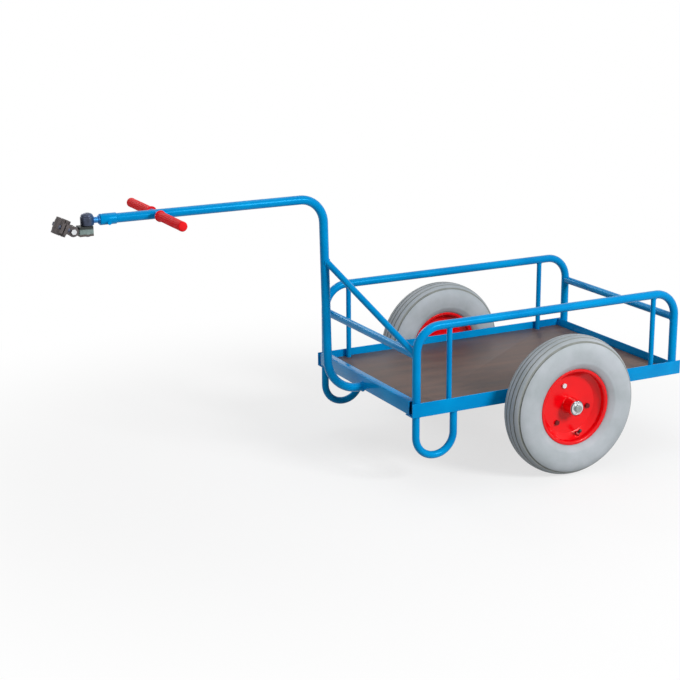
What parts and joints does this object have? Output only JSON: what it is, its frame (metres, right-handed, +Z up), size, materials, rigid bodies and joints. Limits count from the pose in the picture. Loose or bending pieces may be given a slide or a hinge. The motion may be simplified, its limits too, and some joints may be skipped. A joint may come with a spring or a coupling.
{
  "type": "bicycle trailer",
  "caption": "Welded tube bicycle trailer with a recessed plywood deck between side rails, a goose-neck drawbar with a cross handle, a swivelling seat-post hitch and pneumatic barrow wheels.",
  "frame": {"origin": "on the ground, under the middle of the trailer's whole box", "axes": "+X towards the trailer's rear, +Y towards its right side, +Z up"},
  "size_m": [1.784, 0.8154, 0.7982],
  "materials": {
    "frame_paint": "gloss blue powder coat",
    "rim_paint": "gloss red stove enamel",
    "zinc": "bright zinc plate",
    "dark_steel": "dark oxidised steel",
    "cast_iron": "grey-green cast iron",
    "clamp_iron": "dark cast iron",
    "bearing_steel": "polished steel shield",
    "plywood": "dark phenolic-faced plywood",
    "tyre_rubber": "matte light grey rubber",
    "tube_rubber": "matte black rubber",
    "grip_plastic": "satin red plastic"
  },
  "bodies": {
    "chassis": {"left_side_angle": "frame_paint", "right_side_angle": "frame_paint", "front_beam": "frame_paint", "rear_angle": "frame_paint", "deck_board": "plywood", "left_side_rail": "frame_paint", "right_side_rail": "frame_paint", "left_front_bar": "frame_paint", "left_rear_bar": "frame_paint", "right_front_bar": "frame_paint", "right_rear_bar": "frame_paint", "front_cross_tube": "frame_paint", "rear_cross_tube": "frame_paint", "left_foot_loop": "frame_paint", "right_foot_loop": "frame_paint", "axle_beam": "frame_paint", "drawbar": "frame_paint", "drawbar_sleeve": "frame_paint", "tongue_bolt": "zinc", "left_brace": "frame_paint", "right_brace": "frame_paint", "handle_bar": "frame_paint", "left_grip": "grip_plastic", "right_grip": "grip_plastic", "left_axle_washer": "zinc", "right_axle_washer": "zinc", "left_split_pin": "zinc", "right_split_pin": "zinc"},
    "swivel": {"swivel_tongue": "dark_steel"},
    "turntable": {"hitch_block": "cast_iron", "kingpin": "dark_steel"},
    "clamp": {"rear_clamp_jaw": "clamp_iron", "front_clamp_jaw": "clamp_iron", "pitch_pin": "zinc", "left_clamp_bolt": "zinc", "right_clamp_bolt": "zinc"},
    "left_wheel": {"left_tyre": "tyre_rubber", "left_inner_tube": "tube_rubber", "left_outer_rim": "rim_paint", "left_inner_rim": "rim_paint", "left_hub_tube": "rim_paint", "left_outer_bearing": "bearing_steel", "left_inner_bearing": "bearing_steel", "left_rim_bolt_1": "zinc", "left_rim_bolt_2": "zinc", "left_rim_bolt_3": "zinc"},
    "right_wheel": {"right_tyre": "tyre_rubber", "right_inner_tube": "tube_rubber", "right_outer_rim": "rim_paint", "right_inner_rim": "rim_paint", "right_hub_tube": "rim_paint", "right_outer_bearing": "bearing_steel", "right_inner_bearing": "bearing_steel", "right_rim_bolt_1": "zinc", "right_rim_bolt_2": "zinc", "right_rim_bolt_3": "zinc"}
  },
  "joints": [
    {"name": "hitch_roll", "type": "hinge", "parent": "chassis", "child": "swivel", "pos_m": [-0.764, 0, 0.7775], "axis": [1, 0, 0], "continuous": true},
    {"name": "hitch_yaw", "type": "hinge", "parent": "swivel", "child": "turntable", "pos_m": [-0.797, 0, 0.7525], "axis": [0, 0, 1], "range_deg": [-90, 90]},
    {"name": "hitch_pitch", "type": "hinge", "parent": "turntable", "child": "clamp", "pos_m": [-0.838, 0, 0.7552], "axis": [0, 1, 0], "range_deg": [-30, 30]},
    {"name": "left_wheel_spin", "type": "hinge", "parent": "chassis", "child": "left_wheel", "pos_m": [0.451, -0.356, 0.2], "axis": [0, 1, 0], "continuous": true},
    {"name": "right_wheel_spin", "type": "hinge", "parent": "chassis", "child": "right_wheel", "pos_m": [0.451, 0.356, 0.2], "axis": [0, 1, 0], "continuous": true}
  ]
}
